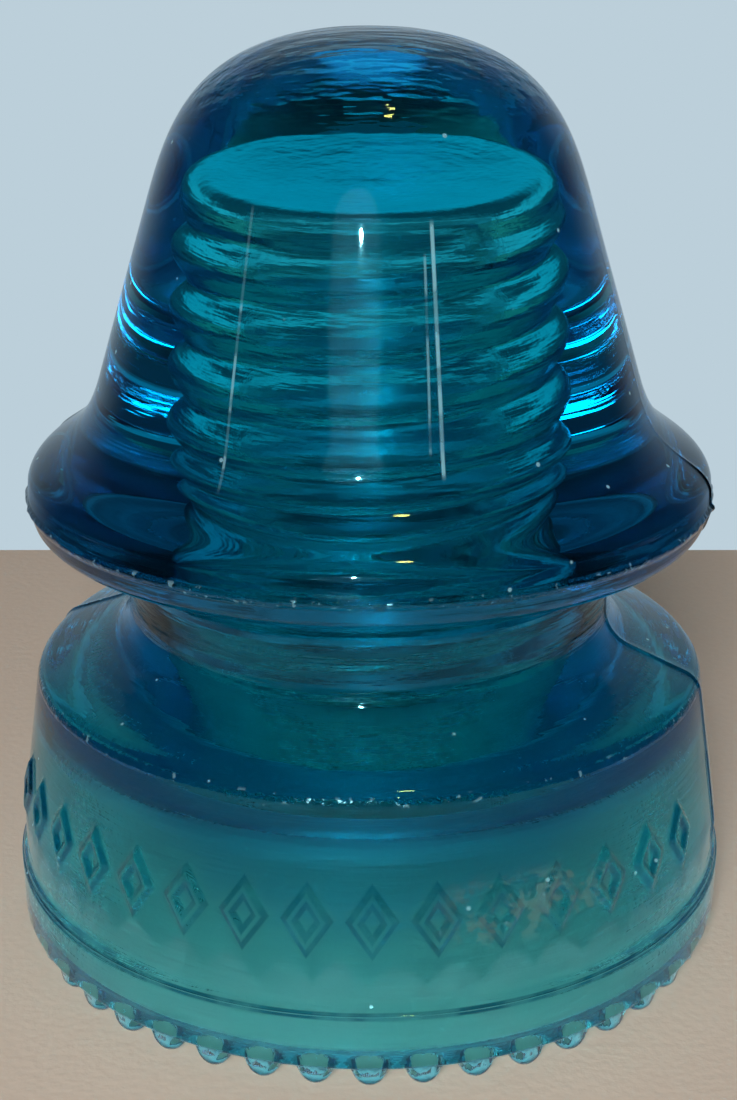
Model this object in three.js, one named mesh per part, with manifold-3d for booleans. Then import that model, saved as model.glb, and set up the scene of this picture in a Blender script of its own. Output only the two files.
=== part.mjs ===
// A pin-type glass insulator for an overhead line, pressed in one piece: a domed crown that flares into an
// umbrella, a deep wire groove under it, and a hollow skirt that ends in a ring of drip points. Inside, a
// tapered pinhole with a rounded right-hand thread runs up into the crown, and a petticoat hangs round its
// mouth with an open gap between it and the skirt.
//
// Millimetres, +Z up. The origin is on the axis, level with the tips of the drip points that it stands on.

import * as THREE from "three";
import { mergeVertices } from "three/addons/utils/BufferGeometryUtils.js";
import Module from "manifold-3d";

const wasm = await Module();
wasm.setup();

// ---------------------------------------------------------------- driving dimensions
// Overall
const TOTAL_HEIGHT = 101.6;
const SKIRT_RADIUS = 41.275; // at the widest ring, just above the mould line
const SEGMENTS = 32; // facets round the axis

// Crown and flank, down to the umbrella
const CROWN_RISE = 17.6; // from the top of the straight flank to the apex
const CROWN_RADIUS = 23.7; // at the top of the flank
const FLANK_RADIUS = 29.5; // at the foot of the flank
const CROWN_ROUNDNESS = 17.8; // how far the flat of the apex pulls outwards
const CROWN_SHOULDER = 9.2; // how far the flank carries on up into the crown

// Umbrella, the upper ridge that shelters the wire
const UMBRELLA_OVERHANG = 8.45; // beyond the foot of the flank
const UMBRELLA_FILLET_RISE = 6.1; // height of the hollow between flank and ridge
const UMBRELLA_FILLET_RUN = 3.6;
const UMBRELLA_RISE = 6.5; // height of the ridge above its widest ring
const UMBRELLA_SLOPE = 0.69; // radians, where the hollow turns into the ridge
const RIM_BAND = 2.9; // height of the band below the widest ring
const RIM_UNDERCUT = 0.85; // how much narrower the lip is than the widest ring
const LIP_ROUND = 1.2; // radius of the lower lip

// Wire groove
const GROOVE_WIDTH = 17.1; // from the shoulder's edge up to the lip
const GROOVE_RADIUS = 27; // glass left at the bottom of the groove
const GROOVE_ROOF_DROP = 3.2; // how far the roof falls on its way in
const GROOVE_FLOOR_RISE = 4.2; // how far the shoulder climbs on its way in
const GROOVE_FILLET = 3.2;

// Skirt
const SHOULDER_RADIUS = 37.8;
const SHOULDER_HEIGHT = 32.5;
const SHOULDER_ROUND = 1.6;
const MOULD_LINE_HEIGHT = 9.4; // where the side moulds meet the base ring
const MOULD_LINE_STEP = 0.2; // the base ring is this much smaller
const SKIRT_WALL = 6.2; // at the base ring
const SHOULDER_WALL = 6.0; // between the shoulder's edge and the gap inside
const GAP_ROOF = 7.2; // glass between the shoulder's edge and the top of the gap
const BASE_ROUND = 1.0;

// Drip points
const DRIP_COUNT = 44;
const DRIP_HEIGHT = 3.0;
const DRIP_RADIUS = 1.9;
const DRIP_INSET = 2.6; // from the outside of the base ring to the middle of each point
const DRIP_TIP_RADIUS = 0.9; // the small flat that it stands on
const DRIP_SINK = 1.0; // how far each point reaches up into the skirt
const DRIP_SIDES = 8;

// Pinhole, petticoat and thread
const CROWN_THICKNESS = 17.5; // glass over the end of the pinhole
const PINHOLE_END_RADIUS = 13.6;
const PINHOLE_END_ROUND = 2.0;
const PINHOLE_TAPER = 1 / 32; // of radius, for each millimetre of depth
const THREAD_PITCH = 6.35;
const THREAD_TURNS = 8;
const THREAD_DEPTH = 1.5;
const THREAD_LEAD_IN = 0.5; // plain length between the rounded end of the pinhole and the first turn
const THREAD_PHASE = 0.789; // of a turn, where the thread starts
const THREAD_SOFTNESS = 0.3; // how blunt its ridges are, from 0 for a sharp edge
const THREAD_MIDDLE = 0.6; // share of its depth that stands inside the plain bore
const THREAD_ROWS = 7; // rows of facets in each turn
const THREAD_FADE = 3; // length over which the thread dies away at each end
const PETTICOAT_WALL = 6.6;
const PETTICOAT_RECESS = 9.5; // its mouth is this far above the drip points' tips
const PETTICOAT_DRAFT = 1.2; // it is this much thicker at its root
const PETTICOAT_ROUND = 1.6;
const GAP_ROUND = 3.0;

// How far each curved stretch keeps to its end tangents, as a share of the stretch's height
const RIDGE_PULL = 0.6;
const HOLLOW_FOOT_PULL = 0.6;
const HOLLOW_RIDGE_PULL = 0.3;

const CURVE_STEPS = 6; // facets along each curved stretch of a profile
const CLEAR = 2; // how far a cutting solid runs past the face that it opens

// ---------------------------------------------------------------- heights and radii that follow
const gapTop = SHOULDER_HEIGHT - GAP_ROOF;
const lipHeight = SHOULDER_HEIGHT + GROOVE_WIDTH;
const rimHeight = lipHeight + RIM_BAND;
const rimRadius = FLANK_RADIUS + UMBRELLA_OVERHANG;
const ridgeTop = rimHeight + UMBRELLA_RISE;
const flankFoot = ridgeTop + UMBRELLA_FILLET_RISE;
const flankTop = TOTAL_HEIGHT - CROWN_RISE;
const pinholeEnd = TOTAL_HEIGHT - CROWN_THICKNESS;
const threadTop = pinholeEnd - PINHOLE_END_ROUND - THREAD_LEAD_IN;
const threadFoot = threadTop - THREAD_TURNS * THREAD_PITCH;
const baseRingRadius = SKIRT_RADIUS - MOULD_LINE_STEP;
const dripCircleRadius = baseRingRadius - DRIP_INSET;

// The plain bore, with no thread on it.
function pinholeRadius(z) {
  return PINHOLE_END_RADIUS + (pinholeEnd - z) * PINHOLE_TAPER;
}

const petticoatRadius = pinholeRadius(PETTICOAT_RECESS) + PETTICOAT_WALL;

// ---------------------------------------------------------------- solids
function solidOf(geometry) {
  const bare = geometry.clone();
  bare.deleteAttribute("normal");
  bare.deleteAttribute("uv");
  const merged = mergeVertices(bare, 1e-4);
  return new wasm.Manifold(
    new wasm.Mesh({
      numProp: 3,
      vertProperties: new Float32Array(merged.attributes.position.array),
      triVerts: new Uint32Array(merged.index.array),
    }),
  );
}

function geometryOf(solid) {
  const mesh = solid.getMesh();
  return new THREE.BufferGeometry()
    .setAttribute("position", new THREE.BufferAttribute(mesh.vertProperties, 3))
    .setIndex(new THREE.BufferAttribute(mesh.triVerts, 1));
}

// Turns a profile of (radius, height) points, drawn with the glass or the cut on its left, about +Z.
function turned(path) {
  const points = path.getPoints(CURVE_STEPS);
  points[0].x = Math.max(points[0].x, 0);
  return new THREE.LatheGeometry(points, SEGMENTS).rotateX(Math.PI / 2);
}

// Rounds the corner at (cornerX, cornerY) of a path, between the points before and after it.
function roundCorner(path, corner, next, radius) {
  const here = path.currentPoint.clone();
  const into = corner.clone().sub(here);
  const out = next.clone().sub(corner);
  const reach = Math.min(radius, into.length() * 0.9, out.length() * 0.45);
  const start = corner.clone().addScaledVector(into.normalize(), -reach);
  const end = corner.clone().addScaledVector(out.normalize(), reach);
  path.lineTo(start.x, start.y);
  path.quadraticCurveTo(corner.x, corner.y, end.x, end.y);
}

// The whole outside, from the middle of the base round the skirt, groove and umbrella to the apex.
function outside() {
  const base = new THREE.Vector2(baseRingRadius, DRIP_HEIGHT);
  const mouldLine = new THREE.Vector2(baseRingRadius, MOULD_LINE_HEIGHT);
  const shoulder = new THREE.Vector2(SHOULDER_RADIUS, SHOULDER_HEIGHT);
  const grooveFloor = new THREE.Vector2(GROOVE_RADIUS, SHOULDER_HEIGHT + GROOVE_FLOOR_RISE);
  const grooveRoof = new THREE.Vector2(GROOVE_RADIUS, lipHeight - GROOVE_ROOF_DROP);
  const lip = new THREE.Vector2(rimRadius - RIM_UNDERCUT, lipHeight);
  const rim = new THREE.Vector2(rimRadius, rimHeight);
  const ridge = new THREE.Vector2(FLANK_RADIUS + UMBRELLA_FILLET_RUN, ridgeTop);
  const foot = new THREE.Vector2(FLANK_RADIUS, flankFoot);
  const crown = new THREE.Vector2(CROWN_RADIUS, flankTop);

  const path = new THREE.Path();
  path.moveTo(0, DRIP_HEIGHT);
  roundCorner(path, base, mouldLine, BASE_ROUND);
  path.lineTo(mouldLine.x, mouldLine.y);
  path.lineTo(SKIRT_RADIUS, MOULD_LINE_HEIGHT + MOULD_LINE_STEP);
  roundCorner(path, shoulder, grooveFloor, SHOULDER_ROUND);
  roundCorner(path, grooveFloor, grooveRoof, GROOVE_FILLET);
  roundCorner(path, grooveRoof, lip, GROOVE_FILLET);
  roundCorner(path, lip, rim, LIP_ROUND);
  path.lineTo(rim.x, rim.y);

  // The ridge: straight up from the rim, then over to the slope of the hollow.
  const slope = new THREE.Vector2(-Math.cos(UMBRELLA_SLOPE), Math.sin(UMBRELLA_SLOPE));
  const ridgePull = UMBRELLA_RISE * RIDGE_PULL;
  path.bezierCurveTo(
    rim.x,
    rim.y + ridgePull,
    ridge.x - slope.x * ridgePull,
    ridge.y - slope.y * ridgePull,
    ridge.x,
    ridge.y,
  );
  // The hollow, which runs on into the straight flank.
  const flank = crown.clone().sub(foot).normalize();
  const leave = UMBRELLA_FILLET_RISE * HOLLOW_RIDGE_PULL;
  const arrive = UMBRELLA_FILLET_RISE * HOLLOW_FOOT_PULL;
  path.bezierCurveTo(
    ridge.x + slope.x * leave,
    ridge.y + slope.y * leave,
    foot.x - flank.x * arrive,
    foot.y - flank.y * arrive,
    foot.x,
    foot.y,
  );
  path.lineTo(crown.x, crown.y);
  path.bezierCurveTo(
    crown.x + flank.x * CROWN_SHOULDER,
    crown.y + flank.y * CROWN_SHOULDER,
    CROWN_ROUNDNESS,
    TOTAL_HEIGHT,
    0,
    TOTAL_HEIGHT,
  );
  return turned(path);
}

// What is open under the skirt: the recess below the petticoat's mouth and the gap round the petticoat.
function underside() {
  const mouth = new THREE.Vector2(baseRingRadius - SKIRT_WALL, DRIP_HEIGHT - CLEAR);
  const outerTop = new THREE.Vector2(SHOULDER_RADIUS - SHOULDER_WALL, gapTop);
  const innerTop = new THREE.Vector2(petticoatRadius + PETTICOAT_DRAFT, gapTop);
  const lip = new THREE.Vector2(petticoatRadius, PETTICOAT_RECESS);

  const path = new THREE.Path();
  path.moveTo(0, mouth.y);
  path.lineTo(mouth.x, mouth.y);
  roundCorner(path, outerTop, innerTop, GAP_ROUND);
  roundCorner(path, innerTop, lip, GAP_ROUND);
  roundCorner(path, lip, new THREE.Vector2(0, PETTICOAT_RECESS), PETTICOAT_ROUND);
  path.lineTo(0, PETTICOAT_RECESS);
  return turned(path);
}

// The threaded pinhole as a closed plug: rings of points whose radius follows a right-hand helix.
function pinhole() {
  const heights = [PETTICOAT_RECESS - CLEAR, PETTICOAT_RECESS + CLEAR];
  const rows = Math.round(THREAD_TURNS * THREAD_ROWS);
  for (let row = 0; row <= rows; row++) {
    heights.push(threadFoot + (threadTop - threadFoot) * (row / rows));
  }
  const rings = heights.map((z) => ringAt(z, (angle) => threadedRadius(z, angle)));

  // The rounded end, a quarter circle from the bore's wall to its flat top.
  const steps = Math.ceil(CURVE_STEPS / 2);
  for (let step = 0; step <= steps; step++) {
    const turn = (Math.PI / 2) * (step / steps);
    const z = pinholeEnd - PINHOLE_END_ROUND * (1 - Math.sin(turn));
    rings.push(ringAt(z, () => PINHOLE_END_RADIUS - PINHOLE_END_ROUND * (1 - Math.cos(turn))));
  }
  return stacked(rings);
}

// The bore's radius at a height and an angle: round hollows between narrow ridges that stand inwards, the
// size of a sine counted in turns of a right-hand helix.
function threadedRadius(z, angle) {
  const turns = (z - threadTop) / THREAD_PITCH - angle / (2 * Math.PI) + THREAD_PHASE;
  const hollow = Math.hypot(Math.sin(Math.PI * turns), THREAD_SOFTNESS);
  const fromEnds = Math.min(z - threadFoot, threadTop - z) / THREAD_FADE;
  const fade = THREE.MathUtils.smoothstep(fromEnds, 0, 1);
  return pinholeRadius(z) + THREAD_DEPTH * fade * (hollow - THREAD_MIDDLE);
}

function ringAt(z, radiusAt) {
  return Array.from({ length: SEGMENTS }, (_, i) => {
    const angle = (2 * Math.PI * i) / SEGMENTS;
    const radius = radiusAt(angle);
    return new THREE.Vector3(radius * Math.cos(angle), radius * Math.sin(angle), z);
  });
}

// Joins rings of equal length, lowest first, into one closed surface with a flat cap at each end.
function stacked(rings) {
  const points = rings.flat();
  const bottom = points.push(new THREE.Vector3(0, 0, rings[0][0].z)) - 1;
  const top = points.push(new THREE.Vector3(0, 0, rings.at(-1)[0].z)) - 1;
  const last = (rings.length - 1) * SEGMENTS;
  const faces = [];
  for (let i = 0; i < SEGMENTS; i++) {
    const j = (i + 1) % SEGMENTS;
    faces.push(bottom, j, i);
    faces.push(top, last + i, last + j);
    for (let low = 0; low < last; low += SEGMENTS) {
      const high = low + SEGMENTS;
      faces.push(low + i, low + j, high + j);
      faces.push(low + i, high + j, high + i);
    }
  }
  return new THREE.BufferGeometry().setFromPoints(points).setIndex(faces);
}

// One drip point, a blunt cone with its small flat tip at the bottom.
function dripPoint(index) {
  const height = DRIP_HEIGHT + DRIP_SINK;
  const angle = (2 * Math.PI * index) / DRIP_COUNT;
  const geometry = new THREE.CylinderGeometry(DRIP_RADIUS, DRIP_TIP_RADIUS, height, DRIP_SIDES);
  geometry.rotateX(Math.PI / 2);
  geometry.translate(dripCircleRadius, 0, height / 2);
  return geometry.rotateZ(angle);
}

// ---------------------------------------------------------------- the glass
function glassBody() {
  let glass = solidOf(outside());
  for (let i = 0; i < DRIP_COUNT; i++) {
    glass = glass.add(solidOf(dripPoint(i)));
  }
  glass = glass.subtract(solidOf(underside()));
  glass = glass.subtract(solidOf(pinhole()));
  return geometryOf(glass);
}

const glassMaterial = new THREE.MeshStandardMaterial({
  color: 0x0d5f73,
  roughness: 0.06,
  metalness: 0,
  transparent: true,
  opacity: 0.6,
});

const body = new THREE.Mesh(glassBody(), glassMaterial);
body.name = "glass_body";

const insulator = new THREE.Group();
insulator.add(body);

export default insulator;
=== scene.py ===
# %% [markdown]
# # A pressed-glass line insulator
#
# The insulator is one casting of deep blue-green glass. A imported CAD solid already fixes where it stands
# and how big it is; this script makes the surface that the eye sees. Glass is a good lesson, because
# little of it is paint. Most of the look comes from three things: an accurate inside *and* outside
# surface, a plain absorption inside, and something simple round it to refract. Age, some painted shade
# and some painted glows go on last.

# %% Load the imported model as a fixed frame
import math

import bpy
import numpy as np
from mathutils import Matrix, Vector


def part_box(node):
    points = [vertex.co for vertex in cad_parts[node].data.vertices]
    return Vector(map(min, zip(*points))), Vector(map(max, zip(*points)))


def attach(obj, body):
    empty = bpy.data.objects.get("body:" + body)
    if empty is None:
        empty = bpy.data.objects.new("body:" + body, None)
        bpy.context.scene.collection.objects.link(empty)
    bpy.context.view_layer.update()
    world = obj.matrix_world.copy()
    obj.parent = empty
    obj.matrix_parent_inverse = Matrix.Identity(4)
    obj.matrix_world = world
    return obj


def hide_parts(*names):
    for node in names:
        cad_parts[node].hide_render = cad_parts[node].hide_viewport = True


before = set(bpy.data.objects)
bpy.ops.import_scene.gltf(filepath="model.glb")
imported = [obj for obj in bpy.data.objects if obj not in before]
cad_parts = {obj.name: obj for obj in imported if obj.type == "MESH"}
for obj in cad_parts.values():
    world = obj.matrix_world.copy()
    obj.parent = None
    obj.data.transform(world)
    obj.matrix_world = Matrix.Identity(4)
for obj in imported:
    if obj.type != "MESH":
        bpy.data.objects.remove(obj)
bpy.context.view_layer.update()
MM = 0.001

low, high = (np.array(corner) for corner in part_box("glass_body"))
TALL = (high[2] - low[2]) / MM
SKIRT_RADIUS = (high[0] - low[0]) / 2 / MM
print(f"frame: {TALL:.1f} mm tall, {2 * SKIRT_RADIUS:.2f} mm across")

# %% [markdown]
# ## Camera
#
# The viewer stands close and looks down on it a little, so the crown looms and the skirt runs away below.
# That closeness matters more than the lens: it sets how round each ring looks.

# %% Camera
CAMERA_BACK = 202.0 * MM
CAMERA_UP = 119.3 * MM
CAMERA_PITCH = math.radians(20.33)
FOCAL_SHARE = 1.722  # focal length over the image's height

camera_data = bpy.data.cameras.new("camera")
camera_data.sensor_width = 36.0
camera_data.lens = FOCAL_SHARE * camera_data.sensor_width
camera_data.shift_x = -0.0009
camera_data.shift_y = -0.0035
camera_data.clip_start = 0.01
camera = bpy.data.objects.new("camera", camera_data)
camera.location = (0.0, -CAMERA_BACK, CAMERA_UP)
camera.rotation_euler = (math.pi / 2 - CAMERA_PITCH, 0.0, 0.0)
bpy.context.collection.objects.link(camera)
bpy.context.scene.camera = camera
print(f"camera: {CAMERA_BACK / MM:.0f} mm back, {CAMERA_UP / MM:.0f} mm up, {camera_data.lens:.1f} mm lens")

# %% [markdown]
# ## Shader maths as Python
#
# A node tree is easier to read as a formula. `Value` wraps one socket, and the usual operators add Math
# nodes. `Tree.node` makes any other node from its type, its settings and the values of its sockets.

# %% A small class for node expressions
class Value:
    """One output socket. Adding, multiplying and so on makes a Math node."""

    def __init__(self, tree, socket):
        self.tree = tree
        self.socket = socket

    def math(self, operation, *others):
        """One Math node, with this value first and the others after it."""
        sockets = {0: self, **dict(enumerate(others, 1))}
        return self.tree.node("ShaderNodeMath", {"operation": operation}, sockets)

    def __add__(self, other):
        return self.math("ADD", other)

    def __sub__(self, other):
        return self.math("SUBTRACT", other)

    def __mul__(self, other):
        return self.math("MULTIPLY", other)

    def __truediv__(self, other):
        return self.math("DIVIDE", other)

    def __rtruediv__(self, other):
        return self.tree.node("ShaderNodeMath", {"operation": "DIVIDE"}, {0: other, 1: self})

    def __rsub__(self, other):
        return self.tree.node("ShaderNodeMath", {"operation": "SUBTRACT"}, {0: other, 1: self})

    __radd__ = __add__
    __rmul__ = __mul__

    def abs(self):
        return self.math("ABSOLUTE")

    def step(self, start, end):
        """0 before start, 1 after end, smooth between."""
        return self.tree.node(
            "ShaderNodeMapRange", {"interpolation_type": "SMOOTHSTEP"}, {"Value": self, 1: start, 2: end}
        )


class Tree:
    """A node tree that is emptied first."""

    def __init__(self, owner):
        owner.use_nodes = True
        self.nodes = owner.node_tree.nodes
        self.links = owner.node_tree.links
        self.nodes.clear()

    def node(self, kind, settings=None, sockets=None, output=0):
        """Any node: its settings first, then a value or a link for each named or numbered socket."""
        made = self.nodes.new(kind)
        for name, value in (settings or {}).items():
            setattr(made, name, value)
        for name, value in (sockets or {}).items():
            if isinstance(value, Value):
                self.links.new(value.socket, made.inputs[name])
            else:
                made.inputs[name].default_value = value
        return Value(self, made.outputs[output]) if len(made.outputs) else None

    def mix(self, factor, colour_a, colour_b):
        """colour_a where the factor is 0, colour_b where it is 1."""
        a, b = (c if isinstance(c, Value) else (*c, 1.0) for c in (colour_a, colour_b))
        return self.node("ShaderNodeMix", {"data_type": "RGBA"}, {0: factor, 6: a, 7: b}, 2)


# %% [markdown]
# ## Something plain to refract
#
# Clear glass shows its surroundings, so these are chosen with care: a pale matt table that ends a short
# way behind the piece, a pale even wall colour beyond it, and a darker room on the viewer's side. The
# dark side is what gives thick glass its deep edges. A soft dark patch is painted on the table behind the
# piece, and stands in for part of its shadow.

# %% Table
TABLE_BACK = 118.0 * MM
TABLE_REACH = 1600.0 * MM
TABLE_THICKNESS = 20.0 * MM
TABLE_COLOUR = (0.60, 0.49, 0.40)
SHADOW_DEPTH = 0.85
SHADOW_MIDDLE = 66.0  # mm behind the axis
SHADOW_HALF = (46.0, 58.0)  # mm across and back
SHADOW_FADE = (0.25, 1.3)  # full inside the first, gone past the second, as squared shares of the half


def make_table():
    """A slab whose top is level with the drip points, ending at a straight edge behind the piece."""
    corners = [(-1, -1), (1, -1), (1, TABLE_BACK / TABLE_REACH), (-1, TABLE_BACK / TABLE_REACH)]
    top = [(x * TABLE_REACH, y * TABLE_REACH, 0.0) for x, y in corners]
    bottom = [(x, y, -TABLE_THICKNESS) for x, y, _ in top]
    faces = [(0, 1, 2, 3), (7, 6, 5, 4), (0, 4, 5, 1), (1, 5, 6, 2), (2, 6, 7, 3), (3, 7, 4, 0)]
    mesh = bpy.data.meshes.new("table")
    mesh.from_pydata(top + bottom, [], faces)
    table = bpy.data.objects.new("table", mesh)
    bpy.context.collection.objects.link(table)

    material = bpy.data.materials.new("matt_board")
    tree = Tree(material)
    place = tree.node("ShaderNodeTexCoord", output="Object")
    grain = tree.node("ShaderNodeTexNoise", {}, {"Vector": place, "Scale": 900.0, "Detail": 4.0})
    patches = tree.node("ShaderNodeTexNoise", {}, {"Vector": place, "Scale": 25.0, "Detail": 2.0})
    axes = tree.node("ShaderNodeSeparateXYZ", {}, {0: place}).socket.node
    across, back = (Value(tree, socket) / MM for socket in list(axes.outputs)[:2])
    across, back = across / SHADOW_HALF[0], (back - SHADOW_MIDDLE) / SHADOW_HALF[1]
    shadow = 1 - (across * across + back * back).step(*SHADOW_FADE)
    shade = (0.93 + 0.08 * grain + 0.06 * patches) * (1 - SHADOW_DEPTH * shadow)
    pale = tree.node(
        "ShaderNodeMix", {"data_type": "RGBA", "blend_type": "MULTIPLY"},
        {0: 1.0, 6: (*TABLE_COLOUR, 1.0), 7: shade}, output=2,
    )
    bump = tree.node("ShaderNodeBump", {}, {"Height": grain, "Strength": 0.3, "Distance": 0.0002})
    shader = tree.node(
        "ShaderNodeBsdfPrincipled", {}, {"Base Color": pale, "Roughness": 0.9, "Normal": bump}
    )
    tree.node("ShaderNodeOutputMaterial", {}, {"Surface": shader})
    mesh.materials.append(material)


make_table()
print(f"table: ends {TABLE_BACK / MM:.0f} mm behind the axis")

# %% [markdown]
# ## A world for each kind of ray
#
# What glass bends, what it mirrors and what lights a matt surface can be chosen apart, because Cycles says
# which kind of ray is asking. Seen through the glass, a pale band lies ahead, dark above and below it and
# pale again overhead. In its mirror the room is dark, with a paler wall behind the piece and one bright
# blue panel high above that wall, for the sheen on the crown.

# %% World
WALL = (0.503, 0.624, 0.701)
BAND_THROUGH = (0.40, 0.52, 0.60)
BELOW_THROUGH = (0.04, 0.08, 0.10)
HIGH_THROUGH = (0.03, 0.06, 0.08)
TOP_THROUGH = (0.50, 0.70, 0.80)
WALL_MIRRORED = (0.35, 0.45, 0.52)
ROOM_MIRRORED = (0.020, 0.024, 0.030)
PANEL_MIRRORED = (0.1, 1.6, 3.6)
FILL = (0.07, 0.075, 0.08)

world = bpy.data.worlds.new("studio")
bpy.context.scene.world = world
tree = Tree(world)
direction = tree.node("ShaderNodeTexCoord", output="Generated")
split = tree.node("ShaderNodeSeparateXYZ", {}, {0: direction}).socket.node
side, forward, up = (Value(tree, socket) for socket in split.outputs)

through = tree.mix(up.step(-0.16, 0.0), BELOW_THROUGH, BAND_THROUGH)
through = tree.mix(up.step(0.20, 0.42), through, HIGH_THROUGH)
through = tree.mix(up.step(0.90, 0.98), through, TOP_THROUGH)

panel = (1 - side.abs().step(0.10, 0.24)) * up.step(0.60, 0.72) * forward.step(0.05, 0.25)
mirrored = tree.mix(forward.step(0.45, 0.98), ROOM_MIRRORED, WALL_MIRRORED)
mirrored = tree.mix(panel, mirrored, PANEL_MIRRORED)


def ray(kind):
    """1 for a ray of this kind, 0 for any other."""
    return tree.node("ShaderNodeLightPath", output=kind)


seen = tree.mix(ray("Is Transmission Ray"), FILL, through)
seen = tree.mix(ray("Is Reflection Ray"), seen, mirrored)
seen = tree.mix(ray("Is Diffuse Ray"), seen, FILL)
seen = tree.mix(ray("Is Camera Ray"), seen, WALL)
background = tree.node("ShaderNodeBackground", {}, {"Color": seen, "Strength": 1.0})
tree.node("ShaderNodeOutputWorld", {}, {"Surface": background})
print(f"world: {len(tree.nodes)} nodes")


# %% [markdown]
# ## Lights
#
# One large soft lamp lights the table, and has no mirror image in the glass. Two small ones do the
# opposite: they light nothing matt and show only as a white glint and a warm one.

# %% Lights
def area_light(name, place, target, size, power, colour, seen_in_glass):
    """A round lamp turned to its target. Only a small lamp shows as a glint in the glass."""
    data = bpy.data.lights.new(name, "AREA")
    data.shape = "DISK"
    data.size = size
    data.energy = power
    data.color = colour
    lamp = bpy.data.objects.new(name, data)
    lamp.location = place
    aim = np.array(target) - np.array(place)
    lamp.rotation_euler = (
        math.acos(-aim[2] / np.linalg.norm(aim)), 0.0, math.atan2(aim[1], aim[0]) - math.pi / 2
    )
    lamp.visible_glossy = seen_in_glass
    lamp.visible_transmission = not seen_in_glass
    lamp.visible_diffuse = not seen_in_glass
    bpy.context.collection.objects.link(lamp)
    return lamp


area_light("soft_key", (-0.10, -0.85, 0.42), (0, 0, 0.0), 0.36, 13.0, (1.0, 0.98, 0.95), False)
area_light("flash", (-0.015, -0.205, 0.162), (0, 0, 0.07), 0.005, 0.6, (1.0, 0.97, 0.93), True)
area_light("lamp", (0.10, -0.25, 0.75), (0, 0, 0.05), 0.05, 0.5, (1.0, 0.36, 0.07), True)
print("lights:", ", ".join(data.name for data in bpy.data.lights))

# %% [markdown]
# ## The outline of the glass
#
# The casting was turned in a mould, so one outline of radius against height draws nearly all of it. It
# starts on the axis at the top of the crown, goes down the outside, under the skirt, up and down the gap
# round the petticoat, and up the pinhole to end on the axis again. Each stretch is a straight or a curve,
# with its own number of rows, because a thread needs many rows and a plain wall few.

# %% Sizes of the glass, in millimetres
CROWN_RISE = 17.6
CROWN_RADIUS = 23.7
FLANK_RADIUS = 29.5
CROWN_ROUNDNESS = 17.8
CROWN_SHOULDER = 9.2
UMBRELLA_OVERHANG = 8.45
UMBRELLA_FILLET_RISE = 6.1
UMBRELLA_FILLET_RUN = 3.6
UMBRELLA_RISE = 6.5
UMBRELLA_SLOPE = 0.69
RIM_BAND = 2.9
RIM_UNDERCUT = 0.85
LIP_ROUND = 1.2
GROOVE_WIDTH = 17.1
GROOVE_RADIUS = 27.0
GROOVE_ROOF_DROP = 3.2
GROOVE_FLOOR_RISE = 4.2
GROOVE_FILLET = 3.2
SHOULDER_RADIUS = 37.8
SHOULDER_HEIGHT = 32.5
SHOULDER_ROUND = 1.6
MOULD_LINE_HEIGHT = 9.4
MOULD_LINE_STEP = 0.2
SKIRT_WALL = 6.2
SHOULDER_WALL = 6.0
GAP_ROOF = 7.2
GAP_ROUND = 3.0
BASE_ROUND = 0.7
DRIP_COUNT = 44
DRIP_HEIGHT = 3.0
DRIP_RADIUS = 2.1
DRIP_INSET = 2.5
CROWN_THICKNESS = 17.5
PINHOLE_END_RADIUS = 13.6
PINHOLE_END_ROUND = 2.0
PINHOLE_TAPER = 1 / 32
THREAD_PITCH = 6.35
THREAD_TURNS = 8
THREAD_DEPTH = 1.5
THREAD_LEAD_IN = 0.5
THREAD_PHASE = 0.789
THREAD_FADE = 3.0
THREAD_SOFTNESS = 0.15
THREAD_MIDDLE = 0.6  # the size of the sine at which the thread crosses the plain bore
PETTICOAT_WALL = 6.6
PETTICOAT_RECESS = 9.5
PETTICOAT_DRAFT = 1.2
PETTICOAT_ROUND = 1.6

pinhole_end = TALL - CROWN_THICKNESS
gap_top = SHOULDER_HEIGHT - GAP_ROOF
lip_height = SHOULDER_HEIGHT + GROOVE_WIDTH
rim_height = lip_height + RIM_BAND
rim_radius = FLANK_RADIUS + UMBRELLA_OVERHANG
base_ring_radius = SKIRT_RADIUS - MOULD_LINE_STEP
drip_circle = base_ring_radius - DRIP_INSET
thread_top = pinhole_end - PINHOLE_END_ROUND - THREAD_LEAD_IN
thread_foot = thread_top - THREAD_TURNS * THREAD_PITCH


def pinhole_radius(z):
    """The radius at the pinhole's end plus the taper times the distance below it."""
    return PINHOLE_END_RADIUS + (pinhole_end - z) * PINHOLE_TAPER


petticoat_radius = pinhole_radius(PETTICOAT_RECESS) + PETTICOAT_WALL


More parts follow.
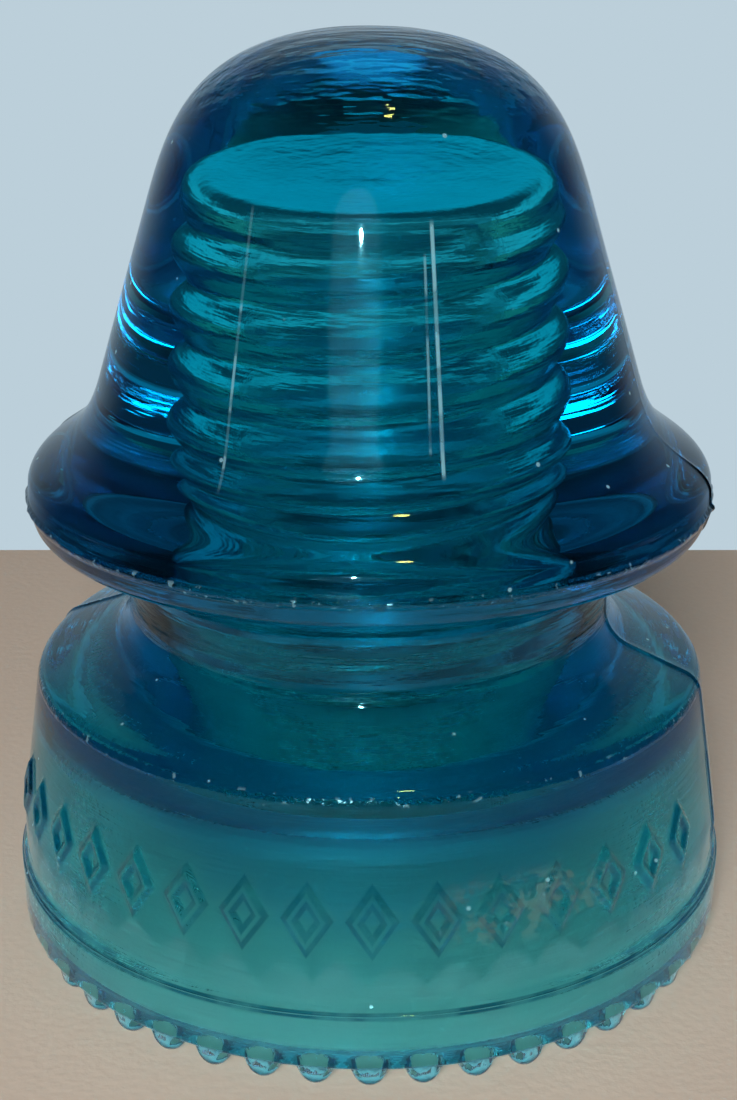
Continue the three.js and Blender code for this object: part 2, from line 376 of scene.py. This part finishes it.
# %% Drawing the outline
class Outline:
    """Collects rows of (radius, height). Each row also has a fineness: how many columns it gets."""

    def __init__(self, start):
        self.rows = [np.array([start], dtype=float)]
        self.fineness = [1]

    @property
    def here(self):
        """The last point drawn."""
        return self.rows[-1][-1]

    def add(self, points, fineness):
        """More rows, all of one fineness."""
        self.rows.append(points)
        self.fineness += [fineness] * len(points)

    def straight(self, end, rows, fineness=1):
        """Start plus a growing share of the way to the end."""
        share = np.linspace(0, 1, rows + 1)[1:, None]
        self.add(self.here + share * (np.array(end) - self.here), fineness)

    def curve(self, pull_a, pull_b, end, rows, fineness=1):
        """A cubic Bezier curve: the four points weighted by (1-t)^3, 3(1-t)^2 t, 3(1-t) t^2 and t^3."""
        t = np.linspace(0, 1, rows + 1)[1:, None]
        a, b, c, d = (np.array(p, dtype=float) for p in (self.here, pull_a, pull_b, end))
        self.add((1 - t) ** 3 * a + 3 * (1 - t) ** 2 * t * b + 3 * (1 - t) * t**2 * c + t**3 * d, fineness)

    def corner(self, corner, following, radius, straight_rows, round_rows, fineness=1):
        """A straight towards the corner, then a rounded turn towards the point that follows."""
        corner, following = np.array(corner, dtype=float), np.array(following, dtype=float)
        into, out = corner - self.here, following - corner
        reach = min(radius, np.linalg.norm(into) * 0.9, np.linalg.norm(out) * 0.45)
        start = corner - into / np.linalg.norm(into) * reach
        end = corner + out / np.linalg.norm(out) * reach
        self.straight(start, straight_rows, fineness)
        self.curve(start + (corner - start) * 0.6, end + (corner - end) * 0.6, end, round_rows, fineness)


def draw_outline():
    """From the top of the crown down the outside, up and down the gap, and up the pinhole to the axis."""
    crown = np.array([CROWN_RADIUS, TALL - CROWN_RISE])
    foot = np.array([FLANK_RADIUS, rim_height + UMBRELLA_RISE + UMBRELLA_FILLET_RISE])
    ridge = np.array([FLANK_RADIUS + UMBRELLA_FILLET_RUN, rim_height + UMBRELLA_RISE])
    rim = np.array([rim_radius, rim_height])
    lip = (rim_radius - RIM_UNDERCUT, lip_height)
    groove_roof = (GROOVE_RADIUS, lip_height - GROOVE_ROOF_DROP)
    groove_floor = (GROOVE_RADIUS, SHOULDER_HEIGHT + GROOVE_FLOOR_RISE)
    shoulder = (SHOULDER_RADIUS, SHOULDER_HEIGHT)
    widest = (SKIRT_RADIUS, MOULD_LINE_HEIGHT + MOULD_LINE_STEP)
    mould_line = (base_ring_radius, MOULD_LINE_HEIGHT)

    line = Outline((0.0, TALL))
    flank = (crown - foot) / np.linalg.norm(crown - foot)
    slope = np.array([-math.cos(UMBRELLA_SLOPE), math.sin(UMBRELLA_SLOPE)])
    line.curve((CROWN_ROUNDNESS, TALL), crown + flank * CROWN_SHOULDER, crown, 34)
    line.straight(foot, 12)
    hollow = UMBRELLA_FILLET_RISE * 0.6
    line.curve(foot - flank * hollow, ridge + slope * hollow * 0.5, ridge, 14)
    pull = UMBRELLA_RISE * 0.6
    line.curve(ridge - slope * pull, rim + (0, pull), rim, 18)
    line.rows[-1][-4:, 1] = rim_height + np.array([0.5, 0.3, 0.15, 0.0])
    line.straight(line.here + (np.array(lip) - line.here) * 0.25, 4)
    line.corner(lip, groove_roof, LIP_ROUND, 3, 6)
    line.corner(groove_roof, groove_floor, GROOVE_FILLET, 5, 8)
    line.corner(groove_floor, shoulder, GROOVE_FILLET, 5, 8)
    line.corner(shoulder, widest, SHOULDER_ROUND, 7, 7)
    line.straight(line.here + (np.array(widest) - line.here) * 0.30, 4)
    line.straight(line.here + (np.array(widest) - line.here) * 0.05, 1, 2)
    line.straight(line.here + (np.array(widest) - line.here) * 0.60, 20, 4)
    line.straight((line.here[0] + 0.02, MOULD_LINE_HEIGHT + 1.0), 5, 2)
    line.straight(widest, 5, 2)
    line.straight(mould_line, 2, 2)
    line.straight((base_ring_radius, MOULD_LINE_HEIGHT - 0.8), 5, 2)
    base = (base_ring_radius, DRIP_HEIGHT)
    mouth = np.array([base_ring_radius - SKIRT_WALL, DRIP_HEIGHT])
    line.corner(base, mouth, BASE_ROUND, 5, 4, 2)
    line.straight(mouth + (0.5, 0.0), 18, 4)
    outer_top = (SHOULDER_RADIUS - SHOULDER_WALL, gap_top)
    inner_top = (petticoat_radius + PETTICOAT_DRAFT, gap_top)
    line.curve(mouth + (0.2, 0.0), mouth + (0.0, 0.2), mouth + (-0.05, 0.6), 3, 2)
    line.corner(outer_top, inner_top, GAP_ROUND, 6, 8)
    petticoat_lip = (petticoat_radius, PETTICOAT_RECESS)
    bore_mouth = (pinhole_radius(PETTICOAT_RECESS) + 0.6, PETTICOAT_RECESS)
    line.corner(inner_top, petticoat_lip, GAP_ROUND, 2, 8)
    line.corner(petticoat_lip, bore_mouth, PETTICOAT_ROUND, 5, 6)
    line.corner(bore_mouth, (pinhole_radius(thread_foot), thread_foot), 1.0, 3, 5)
    line.straight((pinhole_radius(thread_foot), thread_foot), 6)
    line.straight((pinhole_radius(thread_top), thread_top), 12 * THREAD_TURNS)
    line.corner((PINHOLE_END_RADIUS, pinhole_end), (0, pinhole_end), PINHOLE_END_ROUND, 3, 8)
    line.straight((0.0, pinhole_end), 10)
    return np.vstack(line.rows), np.array(line.fineness)


outline, fineness = draw_outline()
print(f"outline: {len(outline)} rows")

# %% [markdown]
# ## Columns round the axis
#
# Every ring of points shares one set of angles. A ring may use them all twice or four times as finely,
# where raised marks or drip points need it. Two mould halves met along a vertical plane and left a fine
# raised seam down each side, so a few extra columns crowd round those two angles.

# %% Angles of the columns
SEAM_ANGLES = np.radians([-90.0 + 75.0, -90.0 + 255.0])
SEAM_COLUMNS = np.radians([-1.3, -0.75, -0.4, -0.15, 0.15, 0.4, 0.75, 1.3])
COLUMNS = DRIP_COUNT * 4

even = np.arange(COLUMNS) * 2 * math.pi / COLUMNS
near_seam = np.abs((even[:, None] - SEAM_ANGLES + math.pi) % (2 * math.pi) - math.pi).min(axis=1)
seam_angles = (SEAM_ANGLES[:, None] + SEAM_COLUMNS).ravel() % (2 * math.pi)
base_angles = np.sort(np.concatenate([even[near_seam > math.radians(1.6)], seam_angles]))


def finer(angles):
    """The same angles with one more halfway between each pair."""
    following = np.append(angles[1:], angles[0] + 2 * math.pi)
    return np.stack([angles, (angles + following) / 2], axis=1).ravel()


angle_sets = {1: base_angles, 2: finer(base_angles), 4: finer(finer(base_angles))}
print(f"columns: {len(base_angles)}, and {len(angle_sets[4])} where it is finest")

# %% [markdown]
# ## Relief
#
# Everything that isn't turned is a small push along the surface's own normal, worked out as one number for
# each point: the thread, the drip points, the raised band, the seams and the slight waviness of pressed
# glass. Positive is out of the glass.

# %% Relief formulas
MARK_COUNT = 15
MARK_PITCH = math.radians(9.4)
MARK_MIDDLE = math.radians(-90.0 - 9.0)
MARK_HEIGHT = 19.6
MARK_HALF = (1.75, 2.6)
MARK_STROKE = 0.6
MARK_RAISE = 0.55
LINE_DEPTH = 0.28
LINE_WIDTH = 0.2
LINE_GAP = 0.55
BEAD_RAISE = 0.25
BEAD_WIDTH = 0.28
SEAM_RAISE = 0.22
SEAM_WIDTH = 0.35
OUTSIDE_WAVES = (0.07, 7, 3)  # size, number of waves, seed
INSIDE_WAVES = (0.06, 7, 5)


def smooth(x):
    """0 below 0, 1 above 1, and 3x^2 - 2x^3 between."""
    x = np.clip(x, 0, 1)
    return x * x * (3 - 2 * x)


def thread(radius, height, angle):
    """Round hollows between narrow ridges: the size of a sine, counted in turns of a right-hand helix."""
    turns = (height - thread_top) / THREAD_PITCH - angle / (2 * math.pi) + THREAD_PHASE
    fade = smooth(np.minimum(height - thread_foot, thread_top - height) / THREAD_FADE)
    hollow = np.sqrt(np.sin(math.pi * turns) ** 2 + THREAD_SOFTNESS**2)
    return THREAD_DEPTH * fade * (THREAD_MIDDLE - hollow)


def drip_points(radius, angle):
    """How far half-round bumps hang down: the root of 1 less the squared distance from a centre."""
    pitch = 2 * math.pi / DRIP_COUNT
    across = (angle + pitch / 2) % pitch - pitch / 2
    distance = np.hypot(radius - drip_circle, across * drip_circle) / DRIP_RADIUS
    return DRIP_HEIGHT * np.sqrt(np.clip(1 - distance**2, 0, 1))


def raised_band(radius, height, angle):
    """A row of plain open lozenges: a bell curve across the line |across| / width + |up| / height = 1."""
    place = (angle - MARK_MIDDLE + math.pi) % (2 * math.pi) - math.pi
    nearest = np.clip(np.round(place / MARK_PITCH), -(MARK_COUNT // 2), MARK_COUNT // 2)
    across = np.abs(place - nearest * MARK_PITCH) * radius
    line = across / MARK_HALF[0] + np.abs(height - MARK_HEIGHT) / MARK_HALF[1] - 1
    return MARK_RAISE * np.exp(-((line * MARK_HALF[0] / MARK_STROKE) ** 2))


def seams(radius, height, angle):
    """A narrow bell curve across each seam."""
    away = np.abs((angle[..., None] - SEAM_ANGLES + math.pi) % (2 * math.pi) - math.pi).min(axis=-1)
    polished = 1 - 0.9 * smooth((height - rim_height - 2) / 5)
    return SEAM_RAISE * polished * np.exp(-((away * radius / SEAM_WIDTH) ** 2)) * smooth((radius - 20) / 8)


def mould_lines(height, angle):
    """Two fine grooves, one above the other, round the foot of the skirt, each a bell curve in height."""
    away = np.abs(height - MOULD_LINE_HEIGHT) - LINE_GAP / 2
    return -LINE_DEPTH * np.exp(-((away / LINE_WIDTH) ** 2)) + 0 * angle


def rim_bead(height, angle):
    """A fine bead round the rim, a bell curve in height, broken up by fast seeded waves in angle."""
    rng = np.random.default_rng(11)
    size = np.zeros_like(angle)
    for waves in (23, 37, 61, 97, 139):
        size = size + np.cos(waves * angle + rng.uniform(0, 2 * math.pi))
    worn = 0.55 + 0.45 * np.clip(size / 2, -1, 1)
    return BEAD_RAISE * worn * np.exp(-(((height - rim_height) / BEAD_WIDTH) ** 2))


def waviness(height, angle, size, waves, seed):
    """A sum of smooth waves in angle and height, with seeded directions and phases."""
    rng = np.random.default_rng(seed)
    total = np.zeros(np.broadcast(height, angle).shape)
    for _ in range(waves):
        around, along, phase = rng.integers(1, 9), rng.uniform(0.05, 0.45), rng.uniform(0, 2 * math.pi)
        total = total + np.cos(around * angle + along * height + phase) / math.sqrt(around)
    return size * total / waves


# %% Which relief each row gets
normal = np.gradient(outline, axis=0)
normal = np.stack([-normal[:, 1], normal[:, 0]], axis=1)
normal /= np.linalg.norm(normal, axis=1, keepdims=True)
normal[0], normal[-1] = (0, 1), (0, -1)

row_number = np.arange(len(outline))
last_outside = int(np.argmax(outline[:, 1] < DRIP_HEIGHT + 0.001))
near_drips = (fineness == 4) & (outline[:, 1] < DRIP_HEIGHT + 0.001)
in_pinhole = (outline[:, 0] < 17.5) & (row_number > last_outside)
on_outside = row_number < last_outside


def relief(row):
    """The push along the normal for every column of one row."""
    angle = angle_sets[fineness[row]]
    radius, height = outline[row]
    if in_pinhole[row]:
        return thread(radius, height, angle) + waviness(height, angle, *INSIDE_WAVES)
    if not on_outside[row]:
        return np.zeros_like(angle)
    push = seams(radius, height, angle) + waviness(height, angle, *OUTSIDE_WAVES)
    if height > SHOULDER_HEIGHT:
        return push * smooth(radius / 6) + rim_bead(height, angle) * (radius > GROOVE_RADIUS + 8)
    push = push * smooth((height - MOULD_LINE_HEIGHT) / 4)
    return push + raised_band(radius, height, angle) + mould_lines(height, angle)


# %% [markdown]
# ## The mesh
#
# Rows of equal fineness are joined by quads. Where the fineness doubles, each coarse edge meets two fine
# ones, so the face between has five corners and nothing is left open. The two ends close in a fan on the
# axis. All faces are worked out as whole arrays.

# %% Rows to mesh
def make_body():
    """Rings of points pushed along the outline's normal, joined row to row, with a fan at each end."""
    points, starts, counts = [], [], []
    total = 0
    for row in range(1, len(outline) - 1):
        angle = angle_sets[fineness[row]]
        push = relief(row)
        radius = outline[row, 0] + normal[row, 0] * push
        height = outline[row, 1] + normal[row, 1] * push
        if near_drips[row]:
            height = height - drip_points(outline[row, 0], angle)
        points.append(np.stack([radius * np.cos(angle), radius * np.sin(angle), height], axis=1))
        starts.append(total)
        counts.append(len(angle))
        total += len(angle)
    points.append(np.array([[0, 0, outline[0, 1]], [0, 0, outline[-1, 1]]]))
    top, end = total, total + 1

    faces = []
    for upper, lower, n, m in zip(starts, starts[1:], counts, counts[1:]):
        k = np.arange(min(n, m))
        a, b = upper + k * (n // len(k)), lower + k * (m // len(k))
        a_next = upper + (k * (n // len(k)) + n // len(k)) % n
        b_next = lower + (k * (m // len(k)) + m // len(k)) % m
        if n == m:
            faces += np.stack([a, b, b_next, a_next], axis=1).tolist()
        elif m > n:
            faces += np.stack([a, b, b + 1, b_next, a_next], axis=1).tolist()
        else:
            faces += np.stack([a, b, b_next, a_next, a + 1], axis=1).tolist()
    k = np.arange(counts[0])
    faces += np.stack([np.full_like(k, top), k, (k + 1) % counts[0]], axis=1).tolist()
    k = np.arange(counts[-1])
    k_next = (k + 1) % counts[-1]
    faces += np.stack([np.full_like(k, end), starts[-1] + k_next, starts[-1] + k], axis=1).tolist()

    mesh = bpy.data.meshes.new("pressed_glass")
    mesh.from_pydata((np.vstack(points) * MM).tolist(), [], faces)
    mesh.polygons.foreach_set("use_smooth", np.ones(len(mesh.polygons), dtype=bool))
    mesh.validate()
    body = bpy.data.objects.new("pressed_glass", mesh)
    bpy.context.collection.objects.link(body)
    corners = sum(len(face) - 2 for face in faces)
    print(f"glass: {len(mesh.vertices)} points, {corners} triangles")
    return body


body = make_body()

# %% [markdown]
# ## The colour of the glass
#
# The colour is in the glass's depth: red is absorbed about ten times faster than green, and green about
# twice as fast as blue. So thin skirts look sea-green and the thick crown goes to navy. A plain Volume
# Absorption does exactly that, which no colour painted on the skin could do.

# %% Absorption
ABSORPTION = np.array([165.0, 17.0, 9.0])  # per metre, for red, green and blue
DENSITY_MARGIN = 1.02  # keeps every channel of the volume's colour above 0

density = float(ABSORPTION.max() * DENSITY_MARGIN)
glass_colour = 1 - ABSORPTION / density
glass_material = bpy.data.materials.new("blue_green_glass")
glass = Tree(glass_material)
volume = glass.node(
    "ShaderNodeVolumeAbsorption", {}, {"Color": (*glass_colour, 1.0), "Density": density}
)
for millimetres in (6, 20, 50):
    left = np.exp(-ABSORPTION * millimetres * MM)
    print(f"through {millimetres} mm: {left[0]:.2f} red, {left[1]:.2f} green, {left[2]:.2f} blue")

# %% [markdown]
# ## Where each mark goes
#
# Marks are placed by where a point is on the piece: its radius and height in millimetres and its angle
# round the axis, 0 at the front. Each zone is a number from 0 to 1, and zones are combined by arithmetic.

# %% Zones of the surface
PINHOLE_WALL = (17.2, 17.6)  # mm, just outside the pinhole's own surface
SKIRT_INSIDE = (36.2, 36.6)  # mm, inside the skirt's wall
SKIRT_TOP = (30.0, 31.0)  # mm, just under the shoulder

place = glass.node("ShaderNodeTexCoord", output="Object")
axes = glass.node("ShaderNodeSeparateXYZ", {}, {0: place}).socket.node
x, y, z = (Value(glass, socket) / MM for socket in axes.outputs)
from_axis = (x * x + y * y).math("SQRT")
azimuth = x.math("ARCTAN2", 0 - y)

in_bore = (1 - from_axis.step(*PINHOLE_WALL)) * (1 - z.step(pinhole_end + 0.5, pinhole_end + 1.0))
under_skirt = (1 - from_axis.step(*SKIRT_INSIDE)) * (1 - z.step(*SKIRT_TOP))
inside = in_bore.math("MAXIMUM", under_skirt)
outside = 1 - inside
on_skirt = outside * (1 - z.step(*SKIRT_TOP))


def near(value, middle, width):
    """1 where the value is at the middle, 0 beyond the width from it."""
    return 1 - (value - middle).abs().step(0.4 * width, width)


pressed_top = outside * z.step(93.0, 97.0)
in_groove = outside * z.step(30.0, 36.0) * (1 - z.step(50.0, 56.0))
edges = outside * (near(z, rim_height, 0.7) + near(z, SHOULDER_HEIGHT - 0.8, 0.6)).math("MINIMUM", 1.0)
print(f"zones: {len(glass.nodes)} nodes so far")

# %% [markdown]
# ## The skin
#
# Pressed glass isn't perfectly smooth: it is faintly rippled outside, gritty and ringed inside where the
# mould's core touched it, and streaked on top. Noise is enough for all of these. What differs is its scale
# and how it is stretched, so one helper makes them all.


# %% Noises
def noise(vector, scale):
    """Soft noise from 0 to 1. The scale is about how many spots there are to a unit."""
    return glass.node("ShaderNodeTexNoise", {}, {"Vector": vector, "Scale": scale, "Detail": 2.0})


STREAK_STRETCH = (0.35, 1.2, 2.0)

ripple = noise(place, 180.0)
blotch = noise(place, 260.0)
grit = noise(place, 1200.0)
stretched = glass.node("ShaderNodeVectorMath", {"operation": "MULTIPLY"}, {0: place, 1: STREAK_STRETCH})
streaks = noise(stretched, 380.0)
round_axis = glass.node("ShaderNodeCombineXYZ", {}, {0: from_axis * 0.7, 1: azimuth * 2.5, 2: z * 1.6})
rings = noise(round_axis, 1.0)

# %% Bump
BUMP_HEIGHT = 0.4 * MM
RIPPLE_SHARE = 0.02
GRIT_SHARE = 0.12
RINGS_INSIDE = 0.3
RINGS_IN_GROOVE = 0.25
STREAKS_ON_TOP = 0.8
GRIT_ON_EDGES = 0.35

uneven = RIPPLE_SHARE * ripple + GRIT_SHARE * inside * grit
uneven = uneven + (RINGS_INSIDE * inside + RINGS_IN_GROOVE * in_groove) * rings
uneven = uneven + STREAKS_ON_TOP * pressed_top * streaks + GRIT_ON_EDGES * edges * grit
bump = glass.node("ShaderNodeBump", {}, {"Height": uneven, "Strength": 1.0, "Distance": BUMP_HEIGHT})
print(f"bump: up to {BUMP_HEIGHT / MM:.1f} mm")

# %% [markdown]
# ## Dark lines, painted shade and weathering
#
# The mould lines and the outlines of the raised marks are tinted a darker blue. The tint round the
# marks repeats their own formula, so it lies exactly along them. Painted shade, a blue tint, darkens the
# umbrella, the groove and the shoulder, and fades out down the skirt. The skirt also has a patch of crust
# and a stain.

# %% Dark lines and painted shade
DARK_LINE_COLOUR = (0.02, 0.16, 0.30)
PAINTED_SHADE_COLOUR = (0.20, 0.52, 0.64)
CRUST_COLOUR = (0.45, 0.36, 0.28)
DARK_LINE_WIDTH = 0.26
MARK_OUTLINE_WIDTH = 0.5
MARK_OUTLINE_SHARE = 0.8

lines = near((z - MOULD_LINE_HEIGHT).abs(), LINE_GAP / 2, DARK_LINE_WIDTH)
along_band = azimuth - (MARK_MIDDLE + math.pi / 2)
nearest_mark = (along_band / MARK_PITCH + 0.5).math("FLOOR")
nearest_mark = nearest_mark.math("MAXIMUM", -(MARK_COUNT // 2)).math("MINIMUM", MARK_COUNT // 2)
across_mark = (along_band - nearest_mark * MARK_PITCH).abs() * from_axis
up_mark = (z - MARK_HEIGHT).abs()
from_line = (across_mark / MARK_HALF[0] + up_mark / MARK_HALF[1] - 1).abs() * MARK_HALF[0]
foot = near(from_line, MARK_STROKE, MARK_OUTLINE_WIDTH)
# A darker blue tint along the mould lines and round the marks, broken up by blotches.
dark_lines = on_skirt * (lines + MARK_OUTLINE_SHARE * foot).math("MINIMUM", 1.0) * (0.55 + 0.45 * blotch.step(0.35, 0.6))
# Painted shade: a blue tint that darkens the umbrella, the groove and the shoulder, fading out down the
# skirt.
painted_shade = outside * z.step(15.0, 34.0) * (1 - z.step(57.0, 67.0))

flakes = (0.5 * blotch + 0.5 * grit).step(0.48, 0.56)
crust = on_skirt * near(azimuth, 0.42, 0.30) * near(z, MARK_HEIGHT, 4.5) * flakes * 0.5
stain = on_skirt * near(azimuth, -1.15, 0.22) * z.step(24.0, 29.0) * flakes

# Surface colour: the painted shade, then the darker lines, then crust and stain.
colour_and_painted_shade = glass.mix(painted_shade, (1.0, 1.0, 1.0), PAINTED_SHADE_COLOUR)
colour_and_painted_shade = glass.mix(dark_lines, colour_and_painted_shade, DARK_LINE_COLOUR)
colour_and_painted_shade = glass.mix((crust + stain).math("MINIMUM", 1.0), colour_and_painted_shade, CRUST_COLOUR)
print(f"dirt and weathering: {len(glass.nodes)} nodes so far")

# %% [markdown]
# ## Wear and painted glints
#
# Scratches and dust scatter light, so clear glass shows them as pale marks. A little emission stands
# in for that scattered light. It is weak, and the same from every side. Specks of the same emission along
# the rim and the shoulder edge are a painted highlight, in the look of worn chips.


# %% Scratches, dust and painted edge glints
def scratch(middle, lean, width, lowest, highest, broken):
    """A near-vertical line: the distance round the axis from an azimuth that leans with height."""
    away = (azimuth - math.radians(middle) - lean * (z - lowest)) * from_axis
    length = z.step(lowest, lowest + 1.0) * (1 - z.step(highest - 1.0, highest))
    return near(away, 0.0, width) * length * (1 - broken * blotch.step(0.45, 0.52))


SPECKS_PER_METRE = 330.0
CHIP_GLINT_STRENGTH = 0.6

scratches = scratch(13.5, 0.0009, 0.26, 62.0, 86.0, 0.4)
scratches = scratches + 0.6 * scratch(11.3, 0.0012, 0.18, 64.0, 83.0, 0.8)
scratches = scratches + 0.8 * scratch(-27.6, -0.0012, 0.20, 60.0, 87.0, 0.75)

cell = {"Vector": place, "Scale": SPECKS_PER_METRE}
from_speck = glass.node("ShaderNodeTexVoronoi", {}, cell)
cell_centre = glass.node("ShaderNodeTexVoronoi", {}, cell, output=2)
chance = glass.node("ShaderNodeTexWhiteNoise", {}, {"Vector": cell_centre})
specks = (1 - from_speck.step(0.05, 0.10)) * chance.step(0.80, 0.82)
# Painted highlight: pale emissive specks along the rim and the shoulder edge, in the look of worn chips.
chip_glints = CHIP_GLINT_STRENGTH * edges * grit.step(0.64, 0.69)
# Scratches and dust, plus the painted glints on the edges.
worn = outside * (scratches + specks + chip_glints).math("MINIMUM", 1.0)

# %% [markdown]
# ## Bloom above the drip points
#
# A pale glow is painted just above the base as emission, standing in for light that gets in at the base
# and is scattered back, in one pale scallop for each drip point. The size of a sine of half the number of
# points gives that row of arches.

# %% Bloom and glow
SCALLOP_HEIGHT = 11.5
SCALLOP_RISE = 2.6
BLOOM_GLOW = (0.026, 0.050, 0.054)
WEAR_AND_GLINT_GLOW = (0.15, 0.26, 0.28)
CRUST_GLOW = (0.16, 0.15, 0.13)

arches = (azimuth * (DRIP_COUNT / 2)).math("SINE").abs()
scallop = SCALLOP_HEIGHT + SCALLOP_RISE * arches + 2.0 * blotch
bloom = on_skirt * (1 - z.step(scallop - 0.8, scallop + 0.8)) * z.step(3.6, 5.2)
bloom = bloom * (0.55 + 0.45 * (0.5 * blotch + 0.5 * ripple).step(0.42, 0.60)) * (1 - 0.8 * dark_lines)
# Painted glow: emission above the drip points, standing in for scattered light.
glow = glass.mix(bloom, (0.0, 0.0, 0.0), BLOOM_GLOW)
# Emission for scratches and dust, and the painted glints on the edges.
glow = glass.mix(worn, glow, WEAR_AND_GLINT_GLOW)
# The crust also gets a weak painted glow, standing in for the light it scatters.
glow = glass.mix(0.6 * crust, glow, CRUST_GLOW)

# %% [markdown]
# ## One shader for all of it
#
# A single Principled shader holds the finish. It lets the light through, so the volume gives most of the
# colour, and its mirror image is tinted blue-green. Only what changes over the surface is linked.

# %% Glass shader
SMOOTH_ROUGHNESS = 0.02
MIRROR_TINT = (0.25, 0.8, 1.0)

roughness = SMOOTH_ROUGHNESS + in_bore * (0.06 + 0.24 * blotch) + under_skirt * (0.2 + 0.3 * blotch)
roughness = roughness + 0.4 * (worn + crust).math("MINIMUM", 1.0)
shader = glass.node("ShaderNodeBsdfPrincipled", {}, {
    "Base Color": colour_and_painted_shade,
    "Roughness": roughness,
    "IOR": 1.5,
    "Transmission Weight": 1.0,
    "Specular Tint": (*MIRROR_TINT, 1.0),
    "Emission Color": glow,
    "Emission Strength": 1.0,
    "Normal": bump,
})
glass.node("ShaderNodeOutputMaterial", {}, {"Surface": shader, "Volume": volume})
body.data.materials.append(glass_material)
print(f"glass material: {len(glass.nodes)} nodes")

# %% Attach to the frame
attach(body, "root")
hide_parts("glass_body")

scene = bpy.context.scene
scene.view_settings.view_transform = "Standard"
scene.cycles.max_bounces = 24
scene.cycles.transmission_bounces = 24
scene.cycles.glossy_bounces = 12
scene.cycles.use_denoising = True
scene.cycles.sample_clamp_indirect = 6.0
